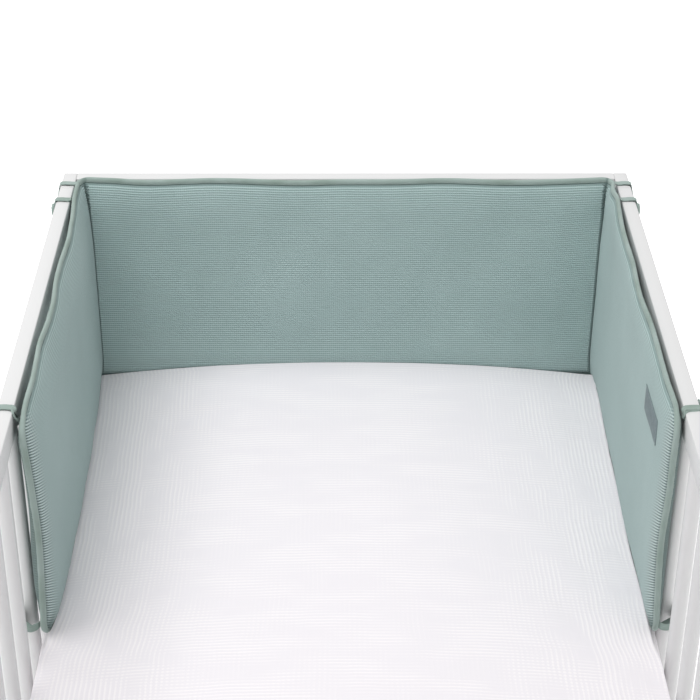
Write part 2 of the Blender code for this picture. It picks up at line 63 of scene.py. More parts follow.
def addNode(tree, kind, inputs=None, stops=(), **settings):
    node = tree.nodes.new("ShaderNode" + kind)
    for name, value in settings.items():
        setattr(node, name, value)
    setInputs(node, inputs or {})
    for i, (place, colour) in enumerate(stops):
        node.color_ramp.elements[i].position = place
        node.color_ramp.elements[i].color = hexColour(colour)
    return node


def startMaterial(name, colour, roughness, **constants):  # also gives the function that adds a node to it
    mat = bpy.data.materials.new(name)
    mat.use_nodes = True
    shader = mat.node_tree.nodes["Principled BSDF"]
    setInputs(shader, {"Base Color": hexColour(colour), "Roughness": roughness})
    setInputs(shader, {socket.replace("_", " "): value for socket, value in constants.items()})
    return mat, shader, partial(addNode, mat.node_tree)


def addObject(name, data):
    added = bpy.data.objects.new(name, data)
    bpy.context.scene.collection.objects.link(added)
    return added


def addMesh(name, bm, mat):
    mesh = bpy.data.meshes.new(name)
    bm.to_mesh(mesh)
    bm.free()
    mesh.materials.append(mat)
    return addObject(name, mesh)


def finishPiece(name, bm, mat, slotName, sharp, *nodes):
    bmesh.ops.recalc_face_normals(bm, faces=bm.faces)
    piece = addMesh(name, bm, mat)
    piece.data.shade_smooth()
    piece.data.set_sharp_from_angle(angle=radians(sharp))
    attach(piece, "root")
    if nodes:
        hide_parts(*nodes)
    return piece


def ease(x, start, stop):  # 0 at the start to 1 at the stop, smoothly
    share = min(max((x - start) / (stop - start), 0), 1)
    return share * share * (3 - 2 * share)


def fade(distance, reach):  # 1 on the spot, gone past about twice the reach
    return exp(-(distance / reach) ** 2)


def smoothRead(rows, at):  # a smooth curve through rows of (place, value, ...)
    at = min(max(at, rows[0][0]), rows[-1][0])
    k = max(i for i, row in enumerate(rows[:-1]) if row[0] <= at)
    span = rows[k + 1][0] - rows[k][0]
    t = (at - rows[k][0]) / span
    low, high = rows[max(k - 1, 0)], rows[min(k + 2, len(rows) - 1)]
    weights = (2 * t ** 3 - 3 * t ** 2 + 1, t ** 3 - 2 * t ** 2 + t,
               3 * t ** 2 - 2 * t ** 3, t ** 3 - t ** 2)
    values = []
    for c in range(1, len(rows[0])):
        leaving = span * (rows[k + 1][c] - low[c]) / (rows[k + 1][0] - low[0])
        arriving = span * (high[c] - rows[k][c]) / (high[0] - rows[k][0])
        values.append(weights[0] * rows[k][c] + weights[1] * leaving
                      + weights[2] * rows[k + 1][c] + weights[3] * arriving)
    return values


def spaced(start, stop, step):
    count = max(1, round(abs(stop - start) / step))
    return [start + (stop - start) * i / count for i in range(count)]


def gridCells(bm, columns, rows):  # the vertices of a new unit grid, with their column and row numbers
    made = bmesh.ops.create_grid(bm, x_segments=columns, y_segments=rows, size=0.5)["verts"]
    return [(vert, round((vert.co.x + 0.5) * columns), round((vert.co.y + 0.5) * rows)) for vert in made]


def addLayer(bm):  # the faces once more, joined round their rim; returns the new vertices
    made = bmesh.ops.extrude_face_region(bm, geom=list(bm.faces))["geom"]
    return {item for item in made if isinstance(item, bmesh.types.BMVert)}


def writeUvs(bm, flat):  # flat places in metres, kept per vertex before it is bent
    layer = bm.loops.layers.uv.new("flat")
    for face in bm.faces:
        for loop in face.loops:
            loop[layer].uv = flat[loop.vert]


print("strip form")
strip = {  # metres; the main sizes are the CAD's, and "bottom" is measured up from the rails' top
    "height": 0.312, "bottom": -0.306, "end": 0.135, "sidePlane": 0.3495, "headPlane": 0.7025,
    "foldRadius": 0.012, "padHalf": 0.0085, "padRim": 0.0030, "crownReach": 0.042, "endCrown": 0.012,
    "cornerRadius": 0.030, "bindingWidth": 0.0068, "bindingHalf": 0.0025, "railClear": 0.0012,
    "leanDepth": 0.060, "curlReach": 0.200, "bellyHigh": 0.130, "bellyLow": 0.010,
}
# mm: distance from the stretch's start, how far the top edge leans in, its height over the rails
leftWaves = [
    (0, 1.5, -2), (46, 1, 1.7), (88, 2, 3.3), (122, 1, 4.8), (157, -0.3, 5.5), (219, 2.5, 4.1),
    (262, 2, 4.5), (295, 0, 7), (342, -0.3, 7.4), (405, 1.2, 6), (449, 0, 7.5), (480, -1.6, 8),
    (515, -4.4, 8.4), (556, -4.8, 9)]
headWaves = [
    (0, -4.8, 9), (19, 0, 9.4), (48, 0, 8), (92, 0.5, 5.5), (185, 0, 8), (290, 0.6, 5), (350, 0, 6),
    (420, 0.2, 6.2), (490, 0, 7.8), (570, 0.6, 5.4), (622, 0.2, 6), (694, 0, 9), (713, -4.4, 9)]
rightWaves = [
    (0, 0.5, 2), (25, -1.2, 5.5), (73, 0, 5.6), (113, -0.2, 5.8), (153, -0.8, 6.2), (197, -0.8, 6.1),
    (258, 1.8, 5.3), (302, 1.2, 5.7), (342, -0.3, 7.1), (397, 0.3, 7), (444, -0.4, 7.2), (480, -2.2, 8),
    (515, -4.2, 8.4), (535, -1.5, 8.8), (556, -4.4, 9)]
leftLean = [(0, 2.2), (120, 5), (440, 5), (556, 1)]
rightLean = [
    (0, 2), (90, -1), (440, -4.2), (520, -5.6), (556, -3.2), (585, -1), (630, 1)]
# mm: height on the strip, how far a side's loose near end bellies into the crib there
leftCurl = [(0, -3.2), (60, 0.6), (150, 4.6), (220, 2.4), (270, -0.8), (312, -0.8)]
rightCurl = [(0, -6.5), (60, -2.6), (140, 1), (220, -1.6), (312, -0.6)]
# mm: distance from the near end, how far a side's lower half bellies over the mattress there
leftBelly = [(0, 0.6), (45, 5.4), (120, 5.2), (300, 3.6), (480, 1.2), (556, 0), (640, 0)]
rightBelly = [(0, 0.2), (45, 1.8), (120, 1.4), (300, 0.5), (556, 0), (640, 0)]

sideRun = strip["headPlane"] - strip["foldRadius"] - strip["end"]
foldRun = pi * strip["foldRadius"] / 2
stripLength = 2 * (sideRun + foldRun + strip["sidePlane"] - strip["foldRadius"])
folds = (sideRun + foldRun / 2, stripLength - sideRun - foldRun / 2)


def fromEnd(s):
    return min(s, stripLength - s)


def plan(s):  # the strip's middle line from above: place, and the direction into the crib
    if s > stripLength / 2:
        place, inward = plan(stripLength - s)
        return Vector((-place.x, place.y)), Vector((-inward.x, inward.y))
    if s < sideRun:
        return Vector((-strip["sidePlane"], strip["end"] + s)), Vector((1, 0))
    radius = strip["foldRadius"]
    turn = min((s - sideRun) / radius, pi / 2)
    inward = Vector((cos(turn), -sin(turn)))
    place = Vector((radius - strip["sidePlane"], strip["headPlane"] - radius)) - inward * radius
    place.x += max(s - sideRun - foldRun, 0)
    return place, inward


def edgeWave(s):
    if s < sideRun:
        values = smoothRead(leftWaves, s / mm)
    elif s > stripLength - sideRun:
        values = smoothRead(rightWaves, (stripLength - s) / mm)
    else:
        values = smoothRead(headWaves, (s - sideRun) / mm)
    return [value * mm for value in values]


def sideRead(s, left, right):  # from the rows of the side that s lies on
    rows, at = (left, s) if s < stripLength / 2 else (right, stripLength - s)
    return smoothRead(rows, at / mm)[0] * mm


def endCurl(s, v):
    near = ease(fromEnd(s), strip["curlReach"], 0)
    rows = leftCurl if s < stripLength / 2 else rightCurl
    return near * smoothRead(rows, v / mm)[0] * mm if near else 0.0


stripColumnCache = {}


def middle(s, v):  # a point on the strip's middle sheet, s along it, v up from its lower edge
    if s not in stripColumnCache:
        leans = sideRead(s, leftLean, rightLean), sideRead(s, leftBelly, rightBelly)
        stripColumnCache[s] = (*plan(s), *edgeWave(s), *leans)
    place, inward, wave, top, lean, belly = stripColumnCache[s]
    down = strip["height"] - v
    shift = wave * (1 - ease(down, 0, 2 * strip["leanDepth"])) + lean * ease(down, 0, strip["leanDepth"])
    shift += belly * ease(v, strip["bellyHigh"], strip["bellyLow"]) + endCurl(s, v)
    place = place + inward * shift
    up = strip["bottom"] + v * (top - strip["bottom"]) / strip["height"]
    return Vector((place.x, place.y, railTop + up))


def inwardNormal(s, v):
    step = 0.4 * mm
    upward = middle(s, v + step) - middle(s, v - step)
    return upward.cross(middle(s - step, v) - middle(s + step, v)).normalized()


def cornerDrop(distance, radius):
    short = max(radius - distance, 0)
    return radius - sqrt(max(radius ** 2 - short ** 2, 0))


print("materials")
weave = {  # real sizes in mm
    "waffleHigh": 3.2, "waffleWide": 2.75, "waffleDepth": 0.75, "yarn": 0.9, "drift": 0.9,
    "paintedRibPitch": 3.7,  # the ribs beside a near end's binding, shown by a painted highlight and painted shade, coarser than the real ones, which don't show
    "paintedRibSlant": (0.74, 0.52), "paintedRibTurn": (40, 170),  # how they slant at these two heights
    "tapeThread": 0.62, "tapeDepth": 0.12, "labelThread": (0.45, 0.27), "labelDepth": 0.1,
    "crinkle": 5.4,  # drawn coarser than the real one, which is too fine to show
    "crinkleDepth": 0.2, "crinkleDrift": 5, "calmHalf": 140, "pulledHalf": 310, "grainDepth": 0.05,
}
blotches = {  # noise cells in a metre
    "waffleDrift": 45, "fuzz": 900, "waffleTone": 7, "slubs": 260, "tapeTone": 28, "labelStreaks": 120,
    "muslinDrift": 16, "muslinLines": {"X": (30, 11, 11), "Y": (9, 26, 26)}, "muslinCreases": (95, 13, 13),
    "grain": (900, 900, 40), "brushed": 35,
}
palette = {
    # the second colour on the next line, for the pockets, is painted shade in the waffle's sunk cells; the
    # third and fourth are a painted highlight on the ribs and painted shade in their pockets, near the ends
    # and on the outer cover
    "rib": "#C3D8D6", "shadedPocket": "#5F7B79", "paintedRibHighlight": "#D4E3E1", "paintedPocketShade": "#3E5553",
    # the first colour on the next line is painted shade for seams, folds and contacts
    "paintedShade": "#4C625F", "tape": "#9DADA8", "tapeShade": "#86988F", "label": "#75868A",
    # the third colour on the next line, for the tack thread, is painted shade of the slit at a fold's top
    "labelShade": "#5E6D71", "thread": "#A9BAB5", "tackInShade": "#40504E", "muslin": "#F4F0F2",
    # the first colour on the next line is painted shade in the muslin's crinkle folds
    "muslinFoldShade": "#ECE8EC", "paint": "#D9D9D9", "floor": "#FFFFFF",
}


def threadDrift(add, place, cells, size):  # a nudge, so that no thread runs straight
    drift = add("TexNoise", {"Vector": place, "Scale": cells, "Detail": 2})
    centred = add("VectorMath", {0: drift.outputs["Color"], 1: (0.5, 0.5, 0.5)}, operation="SUBTRACT")
    return add("VectorMath", {0: centred, "Scale": size * mm}, operation="SCALE")


def addWave(add, source, spacing):  # a sine, nought at every spacing
    scaled = add("Math", {0: source, 1: pi / (spacing * mm)}, operation="MULTIPLY")
    return add("Math", {0: scaled}, operation="SINE")


def crossThreads(add, place, spacings):  # high where two threads cross
    axes = add("SeparateXYZ", {0: place}).outputs
    waves = [addWave(add, axes[axis], spacing) for axis, spacing in zip("XY", spacings)]
    return add("Math", {0: waves[0], 1: waves[1]}, operation="MULTIPLY")


def shadeSeams(add, colour):  # painted shade: darker where a vertex lies in a seam, a fold or a contact, or in the frame's shade
    seams = add("Attribute", attribute_name="paintedShade").outputs["Fac"]
    return add("Mix", {0: seams, 6: colour, 7: hexColour(palette["paintedShade"])}, data_type="RGBA").outputs[2]


def makeWaffle():  # waffle cotton pique: small sunk cells between raised ribs, matt and soft
    mat, shader, add = startMaterial("waffleCottonPique", palette["rib"], 0.92, Sheen_Weight=0.18,
                                     Sheen_Roughness=0.55, Specular_IOR_Level=0.25)
    place = add("TexCoord").outputs
    nudge = threadDrift(add, place["Object"], blotches["waffleDrift"], weave["drift"])
    moved = add("VectorMath", {0: place["UV"], 1: nudge}, operation="ADD")
    axes = add("SeparateXYZ", {0: moved}).outputs

    def rise(source, pitch):  # 0 on a rib, 1 halfway between two
        return add("Math", {0: addWave(add, source, pitch)}, operation="ABSOLUTE")

    across, up = rise(axes["X"], weave["waffleWide"]), rise(axes["Y"], weave["waffleHigh"])
    columns = add("Math", {0: across, 1: 0.36, 2: 0.64}, operation="MULTIPLY_ADD")
    shadedPocket = add("Math", {0: up, 1: columns}, operation="MULTIPLY")
    twist = add("Math", {0: rise(axes["X"], weave["yarn"]), 1: 0.12}, operation="MULTIPLY")
    height = add("Math", {0: twist, 1: shadedPocket}, operation="SUBTRACT")
    fuzz = add("TexNoise", {"Vector": place["Object"], "Scale": blotches["fuzz"], "Detail": 3})
    rough = add("Math", {0: fuzz, 1: 0.22, 2: height}, operation="MULTIPLY_ADD")
    bump = add("Bump", {"Height": rough, "Strength": 1, "Distance": weave["waffleDepth"] * mm})
    patches = add("TexNoise", {"Vector": place["Object"], "Scale": blotches["waffleTone"], "Detail": 3})
    tone = add("Math", {0: patches, 1: 0.22, 2: -0.11}, operation="MULTIPLY_ADD")
    # the sunk cells are painted darker than the ribs: painted shade in the recesses
    shade = add("Math", {0: shadedPocket, 1: 0.74, 2: tone}, operation="MULTIPLY_ADD")
    even = add("ValToRGB", {0: shade}, [(0, palette["rib"]), (1, palette["shadedPocket"])])
    # beside the near ends and over the outer cover, slanting ribs get a painted highlight and their pockets
    # painted shade
    fromMiddle = add("Math", {0: axes["X"], 1: stripLength / 2}, operation="SUBTRACT")
    aside = add("Math", {0: fromMiddle}, operation="ABSOLUTE")
    toEnd = add("Math", {0: stripLength / 2, 1: aside}, operation="SUBTRACT")
    turn, slants = weave["paintedRibTurn"], weave["paintedRibSlant"]
    slant = add("MapRange", {"Value": axes["Y"], "From Min": turn[0] * mm, "From Max": turn[1] * mm,
                             "To Min": slants[0], "To Max": slants[1]})
    slanted = add("Math", {0: toEnd, 1: slant, 2: axes["Y"]}, operation="MULTIPLY_ADD")
    paintedRibStripes = add("MapRange", {"Value": rise(slanted, weave["paintedRibPitch"]), "From Min": 0.5, "From Max": 0.88})
    ribs = add("Mix", {0: paintedRibStripes, 6: hexColour(palette["paintedRibHighlight"]), 7: hexColour(palette["paintedPocketShade"])},
               data_type="RGBA")
    ribHighlightAndShade = add("Attribute", attribute_name="ribHighlightAndShade")  # weight of the painted rib highlight and pocket shade, most beside a near end's binding
    colour = add("Mix", {0: ribHighlightAndShade.outputs["Fac"], 6: even, 7: ribs.outputs[2]}, data_type="RGBA")
    # painted shade of the seams, folds and contacts goes over the cloth's colour
    setInputs(shader, {"Normal": bump, "Base Color": shadeSeams(add, colour.outputs[2])})
    return mat


def makeTape():  # plain-woven cotton cut on the bias: smooth, matt, fine slanting threads
    mat, shader, add = startMaterial("biasCottonTape", palette["tape"], 0.88, Sheen_Weight=0.15,
                                     Sheen_Roughness=0.5, Specular_IOR_Level=0.3)
    place = add("TexCoord").outputs
    turned = add("Mapping", {0: place["UV"], "Rotation": (0, 0, radians(45))})
    threads = crossThreads(add, turned, (weave["tapeThread"], weave["tapeThread"]))
    slubs = add("TexNoise", {"Vector": place["Object"], "Scale": blotches["slubs"], "Detail": 3})
    height = add("Math", {0: slubs, 1: 1.3, 2: threads}, operation="MULTIPLY_ADD")
    bump = add("Bump", {"Height": height, "Strength": 0.7, "Distance": weave["tapeDepth"] * mm})
    patches = add("TexNoise", {"Vector": place["Object"], "Scale": blotches["tapeTone"], "Detail": 4})
    shade = add("Math", {0: threads, 1: 0.16, 2: patches}, operation="MULTIPLY_ADD")
    colour = add("ValToRGB", {0: shade}, [(0.25, palette["tapeShade"]), (0.62, palette["tape"])])
    # painted shade along the binding's inner edge and at the folds goes over the tape's colour
    setInputs(shader, {"Normal": bump, "Base Color": shadeSeams(add, colour)})
    return mat


def makeLabelWeave():  # damask-woven polyester label: flat, tight, a slight silky gloss
    mat, shader, add = startMaterial("damaskWovenLabel", palette["label"], 0.62, Sheen_Weight=0.1,
                                     Specular_IOR_Level=0.45)
    place = add("TexCoord").outputs
    threads = crossThreads(add, place["UV"], weave["labelThread"])
    bump = add("Bump", {"Height": threads, "Strength": 0.8, "Distance": weave["labelDepth"] * mm})
    streaks = add("TexNoise", {"Vector": place["Object"], "Scale": blotches["labelStreaks"], "Detail": 4})
    shade = add("Math", {0: threads, 1: 0.2, 2: streaks}, operation="MULTIPLY_ADD")
    colour = add("ValToRGB", {0: shade}, [(0.2, palette["labelShade"]), (0.75, palette["label"])])
    setInputs(shader, {"Normal": bump, "Base Color": colour})
    return mat


def makeMuslin():  # cotton double gauze: two thin layers tacked in a fine grid, so it crinkles in lines
    mat, shader, add = startMaterial("doubleGauzeMuslin", palette["muslin"], 0.9, Sheen_Weight=0.12,
                                     Specular_IOR_Level=0.25)
    place = add("TexCoord").outputs["UV"]
    nudge = threadDrift(add, place, blotches["muslinDrift"], weave["crinkleDrift"])
    moved = add("VectorMath", {0: place, 1: nudge}, operation="ADD")
    axes = add("SeparateXYZ", {0: moved}).outputs
    aside = add("Math", {0: axes["X"]}, operation="ABSOLUTE")
    pulled = add("MapRange", {"Value": aside, "From Min": weave["calmHalf"] * mm, "To Min": 0.12,
                              "From Max": weave["pulledHalf"] * mm}, interpolation_type="SMOOTHSTEP")
    lines = []
    for axis, cells in blotches["muslinLines"].items():
        wave = addWave(add, axes[axis], weave["crinkle"] / 2)
        spread = add("Mapping", {0: place, "Scale": cells})
        patch = add("TexNoise", {"Vector": spread, "Scale": 1, "Detail": 1.5})
        share = add("MapRange", {"Value": patch, "From Min": 0.38, "From Max": 0.66})
        lines.append(add("Math", {0: wave, 1: share}, operation="MULTIPLY"))
    sideways = add("Math", {0: lines[0], 1: pulled}, operation="MULTIPLY")
    calm = add("Math", {0: pulled, 1: -0.22, 2: 0.62}, operation="MULTIPLY_ADD")
    crinkle = add("Math", {0: lines[1], 1: calm, 2: sideways}, operation="MULTIPLY_ADD")
    long = add("Mapping", {0: moved, "Scale": blotches["muslinCreases"]})
    creases = add("TexNoise", {"Vector": long, "Scale": 1, "Detail": 2})
    tense = add("Math", {0: creases, 1: pulled}, operation="MULTIPLY")
    height = add("Math", {0: tense, 1: 4.5, 2: crinkle}, operation="MULTIPLY_ADD")
    bump = add("Bump", {"Height": height, "Strength": 0.5, "Distance": weave["crinkleDepth"] * mm})
    # the crinkles' folds are painted a little darker: painted shade in the folds
    colour = add("ValToRGB", {0: crinkle}, [(0, palette["muslinFoldShade"]), (0.4, palette["muslin"])])
    setInputs(shader, {"Normal": bump, "Base Color": colour})
    return mat


def makePaint():  # water-based satin paint on beech: white, low gloss, the grain just telegraphs
    mat, shader, add = startMaterial("satinPaintedBeech", palette["paint"], 0.42)
    place = add("TexCoord").outputs["Object"]
    grain = add("Mapping", {0: place, "Scale": blotches["grain"]})
    lines = add("TexNoise", {"Vector": grain, "Scale": 1, "Detail": 4})
    bump = add("Bump", {"Height": lines, "Strength": 0.25, "Distance": weave["grainDepth"] * mm})
    brushed = add("TexNoise", {"Vector": place, "Scale": blotches["brushed"], "Detail": 5})
    gloss = add("Math", {0: brushed, 1: 0.2, 2: 0.32}, operation="MULTIPLY_ADD")
    setInputs(shader, {"Normal": bump, "Roughness": gloss})
    return mat


waffleCotton, biasTape, labelWeave = makeWaffle(), makeTape(), makeLabelWeave()
muslin, satinPaint = makeMuslin(), makePaint()
sewingThread = startMaterial("spunPolyesterThread", palette["thread"], 0.55)[0]  # fine, a little brighter
tackThread = startMaterial("tackThreadInFoldShade", palette["tackInShade"], 0.5)[0]  # stitches at a fold's top; their dark colour is painted shade of the slit there

print("bumper pad")
pad = {
    "step": 4 * mm, "tuck": 1.6 * mm,  # its rim goes this far under the binding
    "rimSteps": (0, 0.8, 1.8, 3.2, 5),  # mm, as are these
    "foldSteps": (20, 16.5, 13.5, 11, 9, 7.4, 6, 4.8, 3.7, 2.7, 1.8, 0.9),
    "groove": 1.9 * mm, "grooveReach": 2.8 * mm, "thinnest": 1.4 * mm, "softHump": 0.8 * mm, "humps": 13,
    "pucker": 0.5 * mm, "puckerSize": 11 * mm, "puckerReach": 12 * mm,
    "foldPinch": 0.80, "pinchMost": 0.9, "foldReach": 2.1 * mm, "foldStitch": 6.5 * mm, "foldDimple": 0.30,
    "foldGather": 8 * mm, "seamShade": 1.7 * mm, "foldShade": 2.2 * mm, "footShade": 3.2 * mm,
    "paintedRibReach": 19 * mm, "endShade": 0.85,
    "endPuff": {-1: (6.6 * mm, 2.4 * mm), 1: (4.8 * mm, 2.6 * mm)},  # outside, low down and higher
}
padInset = strip["bindingWidth"] - pad["tuck"]


def halfThickness(s, v, face=0):  # face 0 is an even pad; 1 (inner) and -1 add the cloth's unevenness
    half = strip["padHalf"] - strip["padRim"]
    rim = 1.0
    reaches = (strip["endCrown"] if face < 0 else strip["crownReach"], strip["crownReach"])
    for distance, reach in zip((fromEnd(s), min(v, strip["height"] - v)), reaches):
        distance -= strip["bindingWidth"]
        half *= sin(min(max(distance / reach, 0), 1) * pi / 2) ** 0.6
        rim = min(rim, distance)
    half += strip["padRim"]
    rim = max(rim, 0)
    if face:  # drawn down beside the binding's seam
        half -= pad["groove"] * fade(rim, pad["grooveReach"])
    pinch = 0.0
    for fold in folds:
        gather = pad["foldDimple"] * cos(2 * pi * v / pad["foldStitch"]) if face else 0
        gather = 1 + gather * fade(s - fold, pad["foldGather"])
        pinch += pad["foldPinch"] * fade(s - fold, pad["foldReach"]) * gather
    half *= 1 - min(pinch, pad["pinchMost"])
    if face:
        spot = Vector((s * pad["humps"], v * pad["humps"], face * 4.7))
        half += pad["softHump"] * (noise(spot) + 0.35 * noise(spot * 3.3)) * (1 - pinch)
        gathers = noise(Vector((s / pad["puckerSize"], v / pad["puckerSize"], face * 9.1)))
        half += pad["pucker"] * gathers * exp(-rim / pad["puckerReach"])
    return max(half, pad["thinnest"])


def outerHalf(s, v, face=0):  # the outer face stops at the rail, and is puffed up behind the near ends
    room = innerWidth / 2 - strip["railClear"] - abs(middle(s, v).x)
    behind = fromEnd(s) - strip["bindingWidth"]
    lowPuff, highPuff = pad["endPuff"][-1 if s < stripLength / 2 else 1]
    puff = lowPuff + (highPuff - lowPuff) * ease(v, 0.12, 0.23)
    puff *= ease(behind, 0, 0.020) * ease(behind, 0.110, 0.030)
    puff *= ease(v, 0.020, 0.070) * ease(strip["height"] - v, 0.006, 0.034)
    return min(halfThickness(s, v, face) + puff, max(room, strip["bindingHalf"] / 2))


def shadeAt(s, v, outside):  # how much painted shade a point of the cover gets, from its seams, its folds and what it stands against
    end = fromEnd(s) - strip["bindingWidth"]
    rim = min(end, min(v, strip["height"] - v) - strip["bindingWidth"])
    shades = [0.8 * fade(s - fold, pad["foldShade"]) for fold in folds]
    shades.append(fade(max(rim, 0), pad["seamShade"]))
    if outside:  # the near ends stand in the frame's shade
        shades.append(pad["endShade"] * ease(end, 0.120, 0.080))
    elif folds[0] < s < folds[1]:  # as does the foot of the head panel
        shades.append(0.7 * fade(max(v - 0.011, 0), pad["footShade"]))
    else:  # and the near ends' lower corners
        shades.append(0.8 * ease(end, 0.024, 0.006) * ease(v, 0.034, 0.018))
    return max(shades)


def buildPad():
    rims = [padInset + d * mm for d in pad["rimSteps"]]
    fold = [folds[0] - d * mm for d in pad["foldSteps"]]
    fold += [2 * folds[0] - s for s in [folds[0]] + fold[::-1]]
    half = rims + spaced(rims[-1] + pad["step"], fold[0], pad["step"]) + fold
    half += spaced(fold[-1] + pad["step"], stripLength / 2, pad["step"])
    columns = half + [stripLength / 2] + [stripLength - s for s in reversed(half)]
    inner = strip["height"] - 2 * padInset
    rims = [d * mm / inner for d in pad["rimSteps"]]
    shares = rims + spaced(rims[-1] + pad["step"] / inner, 1 - rims[-1], pad["step"] / inner)
    shares += [1 - share for share in reversed(rims)]
    bm = bmesh.new()
    paintedShade = bm.verts.layers.float.new("paintedShade")  # how much painted shade a vertex gets, in a seam, a fold or a contact, 0 to 1
    ribHighlightAndShade = bm.verts.layers.float.new("ribHighlightAndShade")  # how much painted rib highlight and pocket shade a vertex gets: most near the end binding
    for vert, i, j in gridCells(bm, len(columns) - 1, len(shares) - 1):
        drop = cornerDrop(fromEnd(columns[i]) - padInset, strip["cornerRadius"] - padInset)
        low, high = padInset + drop, strip["height"] - padInset - drop
        vert.co = (columns[i], low + shares[j] * (high - low), 0)
    raised = addLayer(bm)
    flat = {vert: tuple(vert.co.xy) for vert in bm.verts}
    writeUvs(bm, flat)
    for vert, (s, v) in flat.items():
        inside = vert in raised
        lift = halfThickness(s, v, 1) if inside else -outerHalf(s, v, -1)
        vert.co = middle(s, v) + inwardNormal(s, v) * lift
        near = fade(max(fromEnd(s) - strip["bindingWidth"], 0), pad["paintedRibReach"])
        # the outer cover gets the painted rib highlight and pocket shade all over, at 0.6
        vert[ribHighlightAndShade] = 0.75 * near if inside else 0.6
        vert[paintedShade] = shadeAt(s, v, not inside)
    return finishPiece("bumperPad", bm, waffleCotton, "waffle_cotton", 60, "bumper_pad")


bumperPad = buildPad()

print("binding")
binding = {
    "step": 3 * mm, "ripple": 0.35 * mm, "rippleLong": 13 * mm, "foldReach": 2.8 * mm,
    "foldShade": 1.6 * mm, "endFull": 0.7, "stitchPitch": 3.3 * mm, "stitchLong": 2.3 * mm,
    "stitchThick": 0.5 * mm, "stitchDepth": 0.86, "stitchAcross": 0.90, "foldStitchLong": 4 * mm,
    "tacks": 6, "tackPitch": 6.2 * mm, "tackReach": 5.5 * mm, "tackThick": 0.8 * mm,
    "tackSlants": (-1.2 * mm, 1.6 * mm),
}
# share of the width inwards, share of the half thickness
bindingProfile = [
    (1, 0.60), (0.95, 0.90), (0.86, 0.84), (0.77, 0.97), (0.58, 1.04), (0.36, 0.98), (0.17, 0.78),
    (0.05, 0.45)]
radius = strip["cornerRadius"]
farS, farV = stripLength - radius, strip["height"] - radius
outlineCorners = [Vector(at) for at in ((farS, radius), (radius, radius), (radius, farV), (farS, farV))]
straights = [farV - radius, farS - radius]
arcRun = pi * radius / 2
outlineRun = 2 * sum(straights) + 4 * arcRun


def outlinePlace(along):  # round the strip's outline: s, v and the outward direction
    along %= outlineRun
    for side, corner in enumerate(outlineCorners):
        straight, start = straights[side % 2], radians((0, 270, 180, 90)[side])
        out = Vector((cos(start), sin(start)))
        if along <= straight:  # down, back, up and on
            ahead = Vector((out.y, -out.x))
            return *(corner + out * radius - ahead * (straight - along)), out
        along -= straight
        if along <= arcRun:
            angle = start - along / radius
            out = Vector((cos(angle), sin(angle)))
            return *(corner + out * radius), out
        along -= arcRun


def bindingPoint(along, depth, across):
    s, v, out = outlinePlace(along)
    place = (s - out.x * depth * strip["bindingWidth"], v - out.y * depth * strip["bindingWidth"])
    near = Vector((along / binding["rippleLong"], across * 0.9, depth * 1.3))
    ripple = binding["ripple"] * (noise(near) + 0.5 * noise(near * 2.7)) if across else 0
    lift = across * strip["bindingHalf"] + copysign(ripple, across) * abs(across)
    if across > 0:
        lift *= 1 - sum(0.5 * fade(s - fold, binding["foldReach"]) for fold in folds)
    else:  # fuller outside at the loose near ends
        lift *= 1 + binding["endFull"] * ease(fromEnd(s), 0.020, 0.004)
    return middle(*place) + inwardNormal(*place) * lift


def buildBinding():
    ring = bindingProfile + [(0, 0)] + [(depth, -across) for depth, across in reversed(bindingProfile)]
    ring.append((1, 0))
    columns, rows = round(outlineRun / binding["step"]), len(ring)
    girth = [0]
    for (d0, a0), (d1, a1) in zip(ring, ring[1:] + ring[:1]):
        girth.append(girth[-1] + hypot((d1 - d0) * strip["bindingWidth"], (a1 - a0) * strip["bindingHalf"]))
    bm = bmesh.new()
    paintedShade = bm.verts.layers.float.new("paintedShade")
    flat = {}
    for vert, i, j in gridCells(bm, columns, rows):
        flat[vert] = (i / columns * outlineRun, girth[j])
        depth, across = ring[j % rows]
        s = outlinePlace(flat[vert][0])[0]
        # painted shade along the binding's inner edge, where it meets the pad, and at the folds
        inside = 0.75 * ease(depth, 0.90, 1)
        vert[paintedShade] = max(inside, *(0.7 * fade(s - fold, binding["foldShade"]) for fold in folds))
        vert.co = bindingPoint(flat[vert][0], depth, across)
    writeUvs(bm, flat)
    bmesh.ops.remove_doubles(bm, verts=bm.verts, dist=1e-6)
    finishPiece("bumperBinding", bm, biasTape, "binding_cotton", 70, "bumper_binding")


def addStitch(bm, start, stop, outward, thick):
    ahead = stop - start
    frameMatrix = Matrix.LocRotScale((start + stop) / 2, ahead.to_track_quat("Z", "Y"), None)
    made = bmesh.ops.create_cone(bm, cap_ends=True, segments=6, radius1=thick / 2, radius2=thick / 2,
                                 depth=ahead.length, matrix=frameMatrix)
    for vert in made["verts"]:  # its ends dip into the cloth
        share = abs((vert.co - (start + stop) / 2).dot(ahead)) / ahead.length_squared * 2
        vert.co -= outward * (thick * 0.45 * share ** 2)


def buildStitches():
    bm = bmesh.new()
    count = round(outlineRun / binding["stitchPitch"])
    for i in range(count):
        along = i / count * outlineRun
        s, v, out = outlinePlace(along)
        for face in (1, -1):
            ends = [bindingPoint(at, binding["stitchDepth"], face * binding["stitchAcross"])
                    for at in (along, along + binding["stitchLong"])]
            addStitch(bm, *ends, inwardNormal(s, v) * face, binding["stitchThick"])
    for fold in folds:
        v = 0.014
        while v < strip["height"] - 0.018:
            for face, half in ((1, halfThickness), (-1, outerHalf)):
                normal = inwardNormal(fold, v) * face
                ends = [middle(fold, at) + normal * (half(fold, at, face) + 0.15 * mm)
                        for at in (v, v + binding["foldStitchLong"])]
                addStitch(bm, *ends, normal, binding["stitchThick"])
            v += pad["foldStitch"]
    finishPiece("bindingStitches", bm, sewingThread, "binding_cotton", 50)


